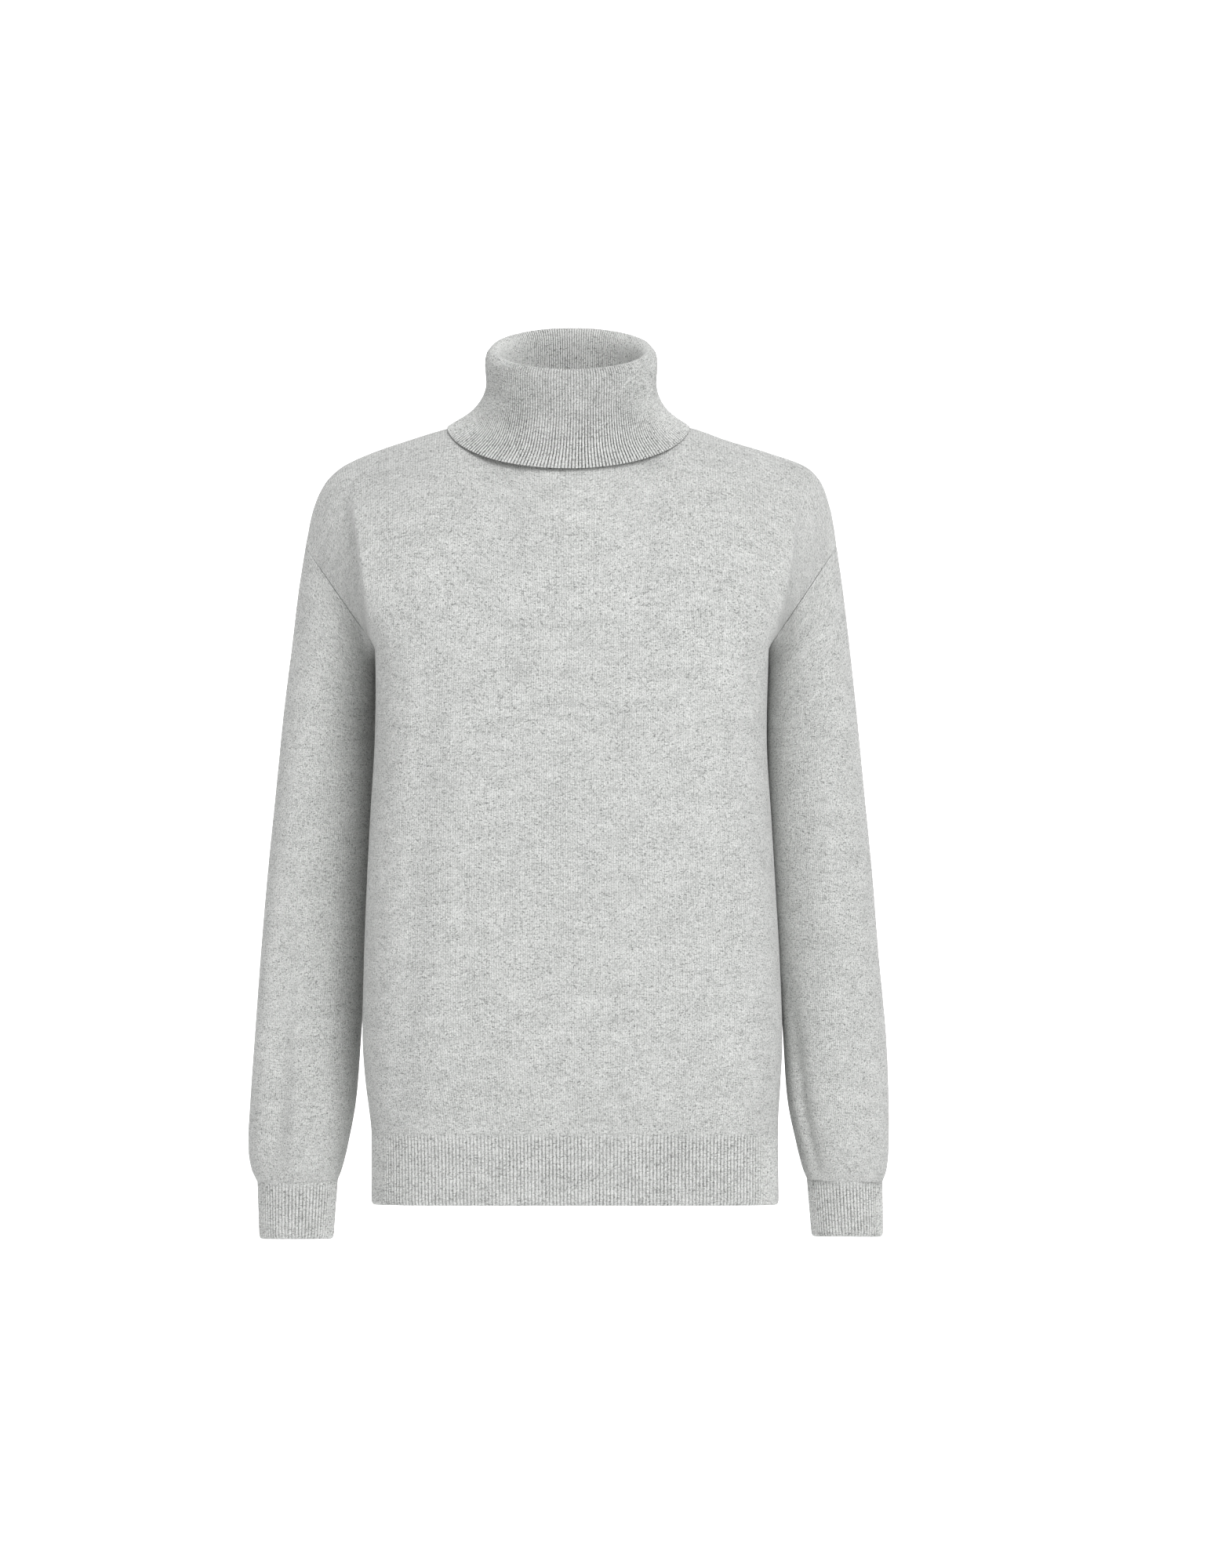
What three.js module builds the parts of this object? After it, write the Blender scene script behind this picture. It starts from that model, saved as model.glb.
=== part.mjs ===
// A fine-knit roll-neck sweater, filled out as if worn, with dropped shoulders and ribbed edges.
// Millimetres, +Z up, front towards -Y, +X on the wearer's left. The origin lies between the shoulders,
// level with the place where the collar's free edge crosses the shoulder line.
import * as THREE from "three";

const JERSEY_THICKNESS = 2;
const RIB_BASE_THICKNESS = 1.8;
const RIB_HEIGHT = 1.1;
const SEAM_GAP = 0.3;

// Ribs of one hem panel, of the collar and of one cuff, and the plain columns behind them.
const HEM_RIBS = 168;
const HEM_INSIDE_COLUMNS = 40;
const COLLAR_RIBS = 198;
const COLLAR_INSIDE_COLUMNS = 48;
const CUFF_RIBS = 68;
const CUFF_INSIDE_COLUMNS = 16;

// How square a section of the body is: the front stays flat to its corners, and the back is rounder.
const SQUARENESS = { front: 4.4, back: 2.5 };

// The side seams, and the level where the sleeve begins.
const SIDE_SEAM_Y = 6;
const UNDERARM_Z = -182;

// The neckline is an ellipse round the neck axis that drops to the front.
const NECK = { centreY: 8, halfWidth: 62, halfDepth: 60, sideZ: 7, frontZ: -18, backZ: 14 };
const NECK_SHARE = 0.3;
const SHOULDER_SEAM_Y = 10;

// Below its top edge a panel follows that edge with the corner at the neck eased, which fades out
// towards the sleeve. The sharper the corner, the nearer to the seam the panel meets the true edge.
const CORNER_EASING = { spread: 0.06, samples: [-2, -1, 0, 1, 2], fadesFrom: 0.6, fadesTo: 0.9 };
const CORNER_SHARPNESS = 4;

// How far the top of the sleeve stands forward and back of the shoulder line, and where that starts.
const CAP_REACH = { front: 50, back: 66 };
const CAP_STARTS = 0.5;

// How straight the middle of a panel slopes from the chest to the neck, and how far out that holds:
// 1 is a quarter of an ellipse.
const CHEST_SLOPE = { middle: 1.3, fadesFrom: 0.1, fadesTo: 0.9 };

// How finely a body section and a shoulder line are drawn before points are spaced along them.
const OUTLINE_STEPS = 96;
const SHOULDER_LINE_STEPS = 80;

const BODY_STEPS = 6;
const YOKE_STEPS = 10;
const NECK_STEPS = 5;
const SHOULDER_STEPS = 10;

const table = (columns, rows) =>
  rows.map((row) => Object.fromEntries(columns.map((name, i) => [name, row[i]])));

// Sections of the body, from the underarm to the top of the hem rib. The lift raises its front edge.
const BODY = table(
  ["z", "centreX", "halfWidth", "front", "back", "lift"],
  [
    [-182, 1, 158.6, 122, 120, 0],
    [-200, 0.8, 158.9, 123, 120, 0.2],
    [-259, -0.2, 159.2, 124, 118, 0.8],
    [-317, -0.2, 162.7, 124, 117, 1.8],
    [-380, 0.1, 166.2, 123, 117, 3],
    [-438, 0.6, 169, 121, 118, 4.2],
    [-500, 1.1, 170.7, 118, 117, 5.2],
    [-534, 1.5, 168.9, 114, 113, 5.7],
    [-560, 2.3, 166.5, 109, 108, 6],
    [-577, 2.9, 165.5, 106, 104, 6],
    [-635, 3.2, 165.8, 104, 102, 6],
  ],
);
const HEM_TOP_Z = -577;
const HEM_BOTTOM_Z = -635;

// The shoulder line from the neck to the top of the sleeve, on each side.
const SHOULDER = table(
  ["z", "rightX", "leftX"],
  [
    [7, -62, 62],
    [-2, -100, 99],
    [-9.6, -132, 126],
    [-19.8, -162, 160],
    [-30, -184.6, 189],
    [-40.3, -197.4, 201.3],
    [-50.6, -204.5, 207],
    [-60.8, -209, 210.2],
    [-73.6, -212.8, 213.4],
    [-97, -217.4, 217],
  ],
);

// The tuck between chest and arm: where it runs on each side, how far the chest hangs forward in a
// fold along it, how far the cloth of the arm sets back past it, and its groove at the back.
const ARM_TUCK = table(
  ["z", "rightX", "leftX", "rightFold", "leftFold", "setBack", "groove"],
  [
    [-40, -180, 186, 0, 0, 0, 0],
    [-66, -175, 182, 8, 3, 4, 2],
    [-93, -168, 177, 15, 7, 10, 4],
    [-130, -163, 171, 18, 10, 14, 7],
    [-165, -160, 165, 13, 8, 12, 8],
    [-182, -159, 161, 0, 0, 6, 0],
  ],
);
const GROOVE_WIDTH = 11;
const SET_BACK = { from: -4, to: 12 };
const CHEST_FOLD = { fadesOver: 30, edgeFrom: -3, edgeTo: 6 };

// Long soft troughs on the body: both ends, half-width, depth, and the panel that they lie on.
const BODY_TROUGHS = table(
  ["side", "topX", "topZ", "bottomX", "bottomZ", "halfWidth", "depth"],
  [
    [-1, -108, -176, -145, -600, 9, 2.6],
    [-1, 128, -330, 139, -570, 10, 1.8],
    [1, -95, -150, -120, -560, 12, 3],
    [1, 90, -190, 104, -590, 12, 2.6],
  ],
);

// Sections of the sleeves below the armhole: the outermost and innermost point, the middle of the
// depth, half the depth, and how far the inner side sits further back than the outer side.
const SLEEVE_COLUMNS = ["outerX", "outerZ", "innerX", "innerZ", "centreY", "halfDepth", "lean"];
const RIGHT_SLEEVE = table(SLEEVE_COLUMNS, [
  [-223, -134, -160.6, -196, 21, 54, 12],
  [-228, -178, -160.4, -216, 24, 52.5, 20],
  [-234.4, -232, -159.4, -246, 26, 50, 28],
  [-241, -298, -161, -300, 26, 47.5, 28],
  [-247.6, -364, -164.6, -364, 25, 45, 28],
  [-253.2, -430, -168.4, -430, 23, 44, 26],
  [-258.2, -496, -172.8, -496, 19, 44.5, 19],
  [-262.2, -550, -176.5, -550, 14, 45, 10],
  [-264, -586, -182.7, -586, 10, 42, 4],
  [-261.6, -605, -187.2, -605, 7, 35.5, 0],
  [-256.6, -616, -190.6, -614, 6, 29.5, 0],
]);
const LEFT_SLEEVE = table(SLEEVE_COLUMNS, [
  [222, -134, 162, -196, 21, 54, 12],
  [227.2, -178, 161.8, -216, 24, 52.5, 20],
  [233, -232, 160, -246, 26, 50, 28],
  [239.4, -298, 161, -300, 26, 47.5, 28],
  [245.8, -364, 165, -364, 25, 45, 28],
  [251, -430, 168.8, -430, 23, 44, 26],
  [257, -496, 173.4, -496, 19, 44.5, 19],
  [259.2, -550, 177, -550, 14, 45, 10],
  [259.2, -586, 184.2, -586, 10, 42, 4],
  [257.6, -605, 189, -605, 7, 35.5, 0],
  [254.4, -615, 192.2, -613, 6, 29.5, 0],
]);

// Troughs that run down a sleeve: both ends as a turn round it, from the inner side over the front.
const SLEEVE_TROUGHS = table(
  ["side", "topTurn", "topRow", "bottomTurn", "bottomRow", "halfWidth", "depth"],
  [
    [-1, 0.36, 5, 0.36, 9.4, 0.035, 4],
    [-1, 0.24, 3, 0.22, 9, 0.035, 2.5],
    [-1, 0.8, 1.5, 0.74, 8, 0.045, 3.5],
    [1, 0.14, 5.5, 0.22, 9.6, 0.035, 4],
    [1, 0.33, 1.5, 0.3, 8, 0.04, 2],
    [1, 0.8, 2, 0.72, 9, 0.045, 3.5],
  ],
);

// Sections of the cuffs, top and bottom.
const CUFF_COLUMNS = ["outerX", "outerZ", "innerX", "innerZ", "centreY", "halfDepth", "lift"];
const RIGHT_CUFF = table(CUFF_COLUMNS, [
  [-256.4, -616.3, -190.8, -614.3, 6, 29.3, 0],
  [-254.8, -663, -194.2, -663, 4, 27.5, 2],
]);
const LEFT_CUFF = table(CUFF_COLUMNS, [
  [254.2, -615.3, 192.4, -613.3, 6, 29.3, 0],
  [254.8, -661, 196.2, -661, 4, 27.5, 2],
]);

// Sections of the folded collar, from the neck seam up its inside, over the roll and down its
// outside to the free edge. Depths are measured from the centre.
const COLLAR = table(
  ["frontZ", "sideZ", "backZ", "halfWidth", "centreY", "front", "back"],
  [
    [-19, 8, 13, 58, 8, 56, 56],
    [14, 36, 50, 56.6, 3, 58, 60],
    [36, 57, 79, 57.4, -3, 61, 62],
    [43.5, 65, 87, 63.6, -4, 68, 68],
    [36, 57.5, 79.5, 70, -4, 75, 74],
    [6, 32, 48, 70, -2, 74, 74],
    [-20, 16, 23, 80, 2, 76, 79],
    [-39, 5, 5, 100.5, 2, 84, 86],
  ],
);
const COLLAR_CORNER_SOFTNESS = 0.15;

const JERSEY_COLOUR = 0xcbccca;
const RIB_COLOUR = 0xbdbebc;

const mix = THREE.MathUtils.lerp;
const smooth = THREE.MathUtils.smoothstep;
const point = (x, y, z) => new THREE.Vector3(x, y, z);
const steps = (count) => Array.from({ length: count + 1 }, (_, i) => i / count);
const bell = (distance, halfWidth) => Math.exp(-((distance / halfWidth) ** 2));

// Every column of a table at one value of its key column, on a smooth curve through the rows.
function sectionAt(rows, key, at) {
  const falls = rows[0][key] > rows[1][key];
  let i = 0;
  while (i < rows.length - 2 && (falls ? at < rows[i + 1][key] : at > rows[i + 1][key])) i++;
  const span = rows[i + 1][key] - rows[i][key];
  const t = THREE.MathUtils.clamp((at - rows[i][key]) / span, 0, 1);
  const slope = (name, k) => {
    const before = rows[Math.max(k - 1, 0)];
    const after = rows[Math.min(k + 1, rows.length - 1)];
    return ((after[name] - before[name]) / (after[key] - before[key])) * span;
  };
  const section = {};
  for (const name of Object.keys(rows[0])) {
    const from = rows[i][name];
    const to = rows[i + 1][name];
    section[name] =
      from * (1 + 2 * t) * (1 - t) ** 2 +
      slope(name, i) * t * (1 - t) ** 2 +
      to * t * t * (3 - 2 * t) +
      slope(name, i + 1) * t * t * (t - 1);
  }
  return section;
}

// Points at the given shares of a line's length.
function spaced(line, shares) {
  const lengths = [0];
  for (let i = 1; i < line.length; i++) {
    lengths.push(lengths[i - 1] + line[i].distanceTo(line[i - 1]));
  }
  const total = lengths.at(-1);
  return shares.map((share) => {
    const target = share * total;
    let i = 1;
    while (i < line.length - 1 && lengths[i] < target) i++;
    const part = (target - lengths[i - 1]) / (lengths[i] - lengths[i - 1]);
    return line[i - 1].clone().lerp(line[i], part);
  });
}

// Half a section of the body between the side seams. Side is -1 for the front and 1 for the back.
function bodyLine(z, side, shares) {
  const s = sectionAt(BODY, "z", z);
  const depth = side < 0 ? s.front : s.back;
  const squareness = side < 0 ? SQUARENESS.front : SQUARENESS.back;
  const square = (c) => Math.sign(c) * Math.abs(c) ** (2 / squareness);
  const outline = steps(OUTLINE_STEPS).map((share) => {
    const turn = share * Math.PI;
    const out = square(Math.sin(turn));
    const lift = side < 0 ? s.lift * out : 0;
    const x = s.centreX - s.halfWidth * square(Math.cos(turn));
    return point(x, SIDE_SEAM_Y + side * depth * out, z + lift);
  });
  return spaced(outline, shares);
}

// A point of the neckline. Turn runs from 0 at the middle of the panel to 1 at the shoulder.
function neckPoint(side, turn) {
  const angle = (turn * Math.PI) / 2;
  const middleZ = side < 0 ? NECK.frontZ : NECK.backZ;
  return point(
    NECK.halfWidth * Math.sin(angle),
    NECK.centreY + side * NECK.halfDepth * Math.cos(angle),
    mix(NECK.sideZ, middleZ, Math.cos(angle)),
  );
}

const SHOULDER_LINES = {};
for (const [name, column] of [
  ["right", "rightX"],
  ["left", "leftX"],
]) {
  const curve = new THREE.CatmullRomCurve3(SHOULDER.map((s) => point(s[column], SHOULDER_SEAM_Y, s.z)));
  SHOULDER_LINES[name] = curve.getSpacedPoints(SHOULDER_LINE_STEPS);
}

// The top edge of a panel: half the neckline, then the shoulder seam. Across runs from -1 to 1.
function topPoint(side, across) {
  const share = Math.abs(across);
  if (share <= NECK_SHARE) {
    const p = neckPoint(side, share / NECK_SHARE);
    p.x *= Math.sign(across) || 1;
    if (share === NECK_SHARE) p.y = SHOULDER_SEAM_Y;
    return p;
  }
  const line = across < 0 ? SHOULDER_LINES.right : SHOULDER_LINES.left;
  return spaced(line, [(share - NECK_SHARE) / (1 - NECK_SHARE)])[0];
}

// The top edge with its corner at the neck eased.
function easedTopPoint(side, across) {
  const { spread, samples, fadesFrom, fadesTo } = CORNER_EASING;
  const reach = spread * (1 - smooth(Math.abs(across), fadesFrom, fadesTo));
  const sum = point(0, 0, 0);
  for (const k of samples) sum.add(topPoint(side, across + k * reach));
  return sum.divideScalar(samples.length);
}

// Shapes the arm tuck, and presses the long troughs in, at a point of the body.
function creased(p, side) {
  const tuck = sectionAt(ARM_TUCK, "z", p.z);
  if (p.z < ARM_TUCK[0].z && p.z > ARM_TUCK.at(-1).z) {
    const past = Math.abs(p.x) - Math.abs(p.x < 0 ? tuck.rightX : tuck.leftX);
    if (side < 0) {
      const { fadesOver, edgeFrom, edgeTo } = CHEST_FOLD;
      const near = Math.exp(Math.min(past, 0) / fadesOver) * (1 - smooth(past, edgeFrom, edgeTo));
      p.y -= (p.x < 0 ? tuck.rightFold : tuck.leftFold) * near;
      p.y += tuck.setBack * smooth(past, SET_BACK.from, SET_BACK.to);
    } else {
      p.y -= tuck.groove * bell(past, GROOVE_WIDTH);
    }
  }
  for (const trough of BODY_TROUGHS.filter((row) => row.side === side)) {
    const down = (p.z - trough.topZ) / (trough.bottomZ - trough.topZ);
    if (down <= 0 || down >= 1) continue;
    const x = mix(trough.topX, trough.bottomX, down);
    p.y -= side * trough.depth * Math.sin(down * Math.PI) * bell(p.x - x, trough.halfWidth);
  }
  return p;
}

// One wale of a panel above the underarm: near the middle it leans back from the chest to the neck,
// and towards the armhole it turns into half of the sleeve's top ring.
function yokePoint(bottom, top, side, across, up) {
  const { middle, fadesFrom, fadesTo } = CHEST_SLOPE;
  const roundness = mix(middle, 1, smooth(Math.abs(across), fadesFrom, fadesTo));
  const quarter = (up * Math.PI) / 2;
  const climb = Math.sin(quarter) ** roundness;
  const chest = point(
    mix(bottom.x, top.x, climb),
    mix(top.y, bottom.y, Math.cos(quarter) ** roundness),
    mix(bottom.z, top.z, climb),
  );
  const swing = (1 - Math.cos(up * Math.PI)) / 2;
  const cap = bottom.clone().lerp(top, swing);
  cap.y += side * (side < 0 ? CAP_REACH.front : CAP_REACH.back) * Math.sin(up * Math.PI);
  return chest.lerp(cap, smooth(Math.abs(across), CAP_STARTS, 1));
}

const HALF_COLUMNS = [
  ...steps(NECK_STEPS).map((s) => s * NECK_SHARE),
  ...steps(SHOULDER_STEPS).slice(1).map((s) => mix(NECK_SHARE, 1, s)),
];
const PANEL_COLUMNS = [...HALF_COLUMNS.slice(1).reverse().map((s) => -s), ...HALF_COLUMNS];

// The outer points of a front or back panel, in rows from the hem to the shoulder.
function panelGrid(side) {
  const shares = PANEL_COLUMNS.map((across) => (across + 1) / 2);
  const rows = [];
  for (const up of steps(BODY_STEPS)) {
    const z = mix(HEM_TOP_Z, UNDERARM_Z, up);
    rows.push(bodyLine(z, side, shares).map((p) => (up < 1 ? creased(p, side) : p)));
  }
  const bottoms = rows.at(-1);
  const tops = PANEL_COLUMNS.map((across) => topPoint(side, across));
  const eased = PANEL_COLUMNS.map((across) => easedTopPoint(side, across));
  for (const up of steps(YOKE_STEPS).slice(1)) {
    rows.push(
      PANEL_COLUMNS.map((across, i) => {
        const top = eased[i].clone().lerp(tops[i], up ** CORNER_SHARPNESS);
        const p = yokePoint(bottoms[i], top, side, across, up);
        return up < 1 ? creased(p, side) : p;
      }),
    );
  }
  return side < 0 ? rows : rows.map((row) => row.slice().reverse());
}

// One ring of a sleeve or cuff. Turn 0 is the inner side, 0.25 the front, 0.5 the outer side.
function armRing(s, turns) {
  return turns.map((turn) => {
    const angle = turn * 2 * Math.PI;
    const out = (1 - Math.cos(angle)) / 2;
    const front = Math.sin(angle);
    return point(
      mix(s.innerX, s.outerX, out),
      s.centreY - s.halfDepth * front + (s.lean ?? 0) * Math.cos(angle),
      mix(s.innerZ, s.outerZ, out) + (s.lift ?? 0) * front,
    );
  });
}

// The outer points of a sleeve, in rings from the armhole to the cuff.
function sleeveGrid(side, sections, front, back) {
  const edge = (grid, first) =>
    grid.slice(BODY_STEPS).map((row) => (first ? row[0] : row.at(-1)));
  const frontEdge = edge(front, side < 0);
  const backEdge = edge(back, side > 0);
  const [near, far] = side < 0 ? [frontEdge, backEdge] : [backEdge, frontEdge];
  const armhole = [...near, ...far.slice(1, -1).reverse()].map((p) => p.clone());
  const count = armhole.length;
  const turns = armhole.map((_, i) => (side < 0 ? i : count - i) / count);
  const middle = sections.reduce((sum, s) => sum + s.innerX + s.outerX, 0) / (2 * sections.length);
  const rings = sections.map((s, row) =>
    armRing(s, turns).map((p, i) => {
      for (const t of SLEEVE_TROUGHS.filter((trough) => trough.side === side)) {
        const down = (row - t.topRow) / (t.bottomRow - t.topRow);
        if (down <= 0 || down >= 1) continue;
        const turn = mix(t.topTurn, t.bottomTurn, down);
        const press = t.depth * Math.sin(down * Math.PI) * bell(turns[i] - turn, t.halfWidth);
        const inward = point(middle - p.x, s.centreY - p.y, 0).normalize();
        p.addScaledVector(inward, press);
      }
      return p;
    }),
  );
  return [armhole, ...rings];
}

// Outward directions of a grid of points whose columns and rows run so that they cross outwards.
function normalsOf(rows, closed) {
  const columns = rows[0].length;
  return rows.map((row, j) =>
    row.map((_, i) => {
      const before = closed ? (i + columns - 1) % columns : Math.max(i - 1, 0);
      const after = closed ? (i + 1) % columns : Math.min(i + 1, columns - 1);
      const along = row[after].clone().sub(row[before]);
      const up = rows[Math.min(j + 1, rows.length - 1)][i].clone().sub(rows[Math.max(j - 1, 0)][i]);
      return along.cross(up).normalize();
    }),
  );
}

// A closed wall between two grids with the same number of rows, and any number of columns each.
function wallBetween(outer, inner, closed) {
  const vertices = [];
  const faces = [];
  const add = (rows) =>
    rows.map((row) => {
      const first = vertices.length / 3;
      for (const p of row) vertices.push(p.x, p.y, p.z);
      const ids = row.map((_, i) => first + i);
      return closed ? [...ids, ids[0]] : ids;
    });
  const skin = (ids, inwards) => {
    for (let j = 1; j < ids.length; j++)
      for (let i = 1; i < ids[j].length; i++) {
        const [a, b, c, d] = [ids[j - 1][i - 1], ids[j - 1][i], ids[j][i], ids[j][i - 1]];
        faces.push(...(inwards ? [a, c, b, a, d, c] : [a, b, c, a, c, d]));
      }
  };
  // A rim joins a row of one grid to the same row of the other, stepping along whichever is behind.
  const rim = (near, far, turned) => {
    let i = 0;
    let k = 0;
    while (i < near.length - 1 || k < far.length - 1) {
      const nearNext = (i + 1) / (near.length - 1);
      const farNext = (k + 1) / (far.length - 1);
      const stepNear = k === far.length - 1 || (i < near.length - 1 && nearNext <= farNext);
      const corner = stepNear ? near[i + 1] : far[k + 1];
      faces.push(...(turned ? [near[i], far[k], corner] : [near[i], corner, far[k]]));
      if (stepNear) i++;
      else k++;
    }
  };
  const outerIds = add(outer);
  const innerIds = add(inner);
  skin(outerIds, false);
  skin(innerIds, true);
  rim(outerIds[0], innerIds[0], true);
  rim(outerIds.at(-1), innerIds.at(-1), false);
  if (!closed) {
    const column = (ids, last) => ids.map((row) => (last ? row.at(-1) : row[0]));
    rim(column(outerIds, false), column(innerIds, false), false);
    rim(column(outerIds, true), column(innerIds, true), true);
  }
  const geometry = new THREE.BufferGeometry();
  geometry.setAttribute("position", new THREE.Float32BufferAttribute(vertices, 3));
  geometry.setIndex(faces);
  geometry.computeVertexNormals();
  return geometry;
}

// Jersey pieces share the points of their seams. Each is drawn back from a shared point by half the
// gap, away from its neighbours, and its wall stays on its own side of the plane between them.
const grids = { front: panelGrid(-1), back: panelGrid(1) };
grids.right_sleeve = sleeveGrid(-1, RIGHT_SLEEVE, grids.front, grids.back);
grids.left_sleeve = sleeveGrid(1, LEFT_SLEEVE, grids.front, grids.back);
const isTube = (name) => name.endsWith("sleeve");

const seamKey = (p) => [p.x, p.y, p.z].map((c) => Math.round(c * 100)).join(" ");
const seamPoints = new Map();
for (const [name, rows] of Object.entries(grids)) {
  const lastRow = rows.length - 1;
  const lastColumn = rows[0].length - 1;
  rows.forEach((row, j) =>
    row.forEach((p, i) => {
      const inward = point(0, 0, 0);
      const towards = (q) => inward.add(q.clone().sub(p).normalize());
      if (j === 0) towards(rows[1][i]);
      if (j === lastRow) towards(rows[lastRow - 1][i]);
      if (!isTube(name) && i === 0) towards(row[1]);
      if (!isTube(name) && i === lastColumn) towards(row[lastColumn - 1]);
      if (inward.length() === 0) return;
      const key = seamKey(p);
      if (!seamPoints.has(key)) seamPoints.set(key, new Map());
      seamPoints.get(key).set(name, inward.normalize());
    }),
  );
}

// The directions that lead a piece away from each neighbour at one of its points. The collar
// stands inside the neckline, so a panel leaves it straight outwards.
function waysFromNeighbours(name, p, atNeckline) {
  const shared = seamPoints.get(seamKey(p)) ?? new Map();
  const ways = [];
  for (const [other, inward] of shared)
    if (other !== name) ways.push(shared.get(name).clone().sub(inward).normalize());
  if (atNeckline) ways.push(point(p.x, p.y - NECK.centreY, 0).normalize());
  return ways;
}

function jerseyWall(name) {
  const rows = grids[name];
  const normals = normalsOf(rows, isTube(name));
  const outer = [];
  const inner = [];
  rows.forEach((row, j) => {
    outer.push([]);
    inner.push([]);
    row.forEach((p, i) => {
      const through = normals[j][i].clone().multiplyScalar(-JERSEY_THICKNESS);
      const start = p.clone();
      const atTop = !isTube(name) && j === rows.length - 1;
      const atNeckline = atTop && Math.abs(p.x) <= NECK.halfWidth;
      for (const away of waysFromNeighbours(name, p, atNeckline)) {
        start.addScaledVector(away, SEAM_GAP / 2);
        through.addScaledVector(away, -Math.min(through.dot(away), 0));
      }
      outer[j].push(start);
      inner[j].push(start.clone().add(through));
    });
  });
  return wallBetween(outer, inner, isTube(name));
}

// The ends of an open rib lie at the side seams, where its surface faces straight to the side.
function ribNormals(rows, closed) {
  const normals = normalsOf(rows, closed);
  if (closed) return normals;
  for (const row of normals) {
    for (const end of [row[0], row.at(-1)]) end.setY(0).normalize();
  }
  return normals;
}

// A ribbed wall from a function that gives the rows of its plain surface for any number of columns.
function ribbedWall(plainRows, ribs, insideColumns, closed) {
  const count = 2 * ribs;
  const turned = (columns) => (closed ? steps(columns).slice(0, -1) : steps(columns));
  const ridges = plainRows(turned(count));
  const ridgeNormals = ribNormals(ridges, closed);
  const outer = ridges.map((row, j) =>
    row.map((p, i) => p.clone().addScaledVector(ridgeNormals[j][i], i % 2 ? 0 : -RIB_HEIGHT)),
  );
  const plain = plainRows(turned(insideColumns));
  const plainNormals = ribNormals(plain, closed);
  const depth = RIB_HEIGHT + RIB_BASE_THICKNESS;
  const inner = plain.map((row, j) =>
    row.map((p, i) => p.clone().addScaledVector(plainNormals[j][i], -depth)),
  );
  return wallBetween(outer, inner, closed);
}

// A hem rib hangs below its panel, level with it.
function hemRows(side) {
  const top = HEM_TOP_Z - SEAM_GAP;
  return (shares) =>
    [HEM_BOTTOM_Z, top].map((z) => {
      const line = bodyLine(z, side, shares);
      line[0].y += (side * SEAM_GAP) / 2;
      line.at(-1).y += (side * SEAM_GAP) / 2;
      return side < 0 ? line : line.reverse();
    });
}

function cuffRows(side, sections) {
  return (turns) => {
    const around = turns.map((turn) => (side < 0 ? turn : 1 - turn));
    return sections.map((s) => armRing(s, around));
  };
}

// The collar's rings run clockwise from the middle of the front, seen from above.
function collarRows(turns) {
  const softly = (c) => (c + Math.hypot(c, COLLAR_CORNER_SOFTNESS)) / 2;
  return COLLAR.map((s) =>
    turns.map((turn) => {
      const angle = turn * 2 * Math.PI;
      const ahead = Math.cos(angle);
      return point(
        -s.halfWidth * Math.sin(angle),
        s.centreY - (ahead > 0 ? s.front : s.back) * ahead,
        s.sideZ + (s.frontZ - s.sideZ) * softly(ahead) + (s.backZ - s.sideZ) * softly(-ahead),
      );
    }),
  );
}

const KNIT_FINISH = { roughness: 0.95, metalness: 0, side: THREE.DoubleSide };
const knit = (name, color) => new THREE.MeshStandardMaterial({ name, color, ...KNIT_FINISH });

const sweater = new THREE.Group();
function addPiece(name, geometry, material) {
  const mesh = new THREE.Mesh(geometry, material);
  mesh.name = name;
  sweater.add(mesh);
}

for (const name of Object.keys(grids)) {
  addPiece(name, jerseyWall(name), knit("jersey_knit", JERSEY_COLOUR));
}

const RIB_PIECES = [
  ["front_hem_rib", hemRows(-1), HEM_RIBS, HEM_INSIDE_COLUMNS, false],
  ["back_hem_rib", hemRows(1), HEM_RIBS, HEM_INSIDE_COLUMNS, false],
  ["right_cuff", cuffRows(-1, RIGHT_CUFF), CUFF_RIBS, CUFF_INSIDE_COLUMNS, true],
  ["left_cuff", cuffRows(1, LEFT_CUFF), CUFF_RIBS, CUFF_INSIDE_COLUMNS, true],
  ["collar", collarRows, COLLAR_RIBS, COLLAR_INSIDE_COLUMNS, true],
];
for (const [name, rows, ribs, insideColumns, closed] of RIB_PIECES) {
  addPiece(name, ribbedWall(rows, ribs, insideColumns, closed), knit("rib_knit", RIB_COLOUR));
}

export default sweater;
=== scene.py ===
# A fine-knit roll-neck sweater of light grey melange wool, filled out as if worn, with no wearer.
# Metres in the scene; the pattern sizes below are a knitter's millimetres. Front towards -Y.
import math

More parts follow.
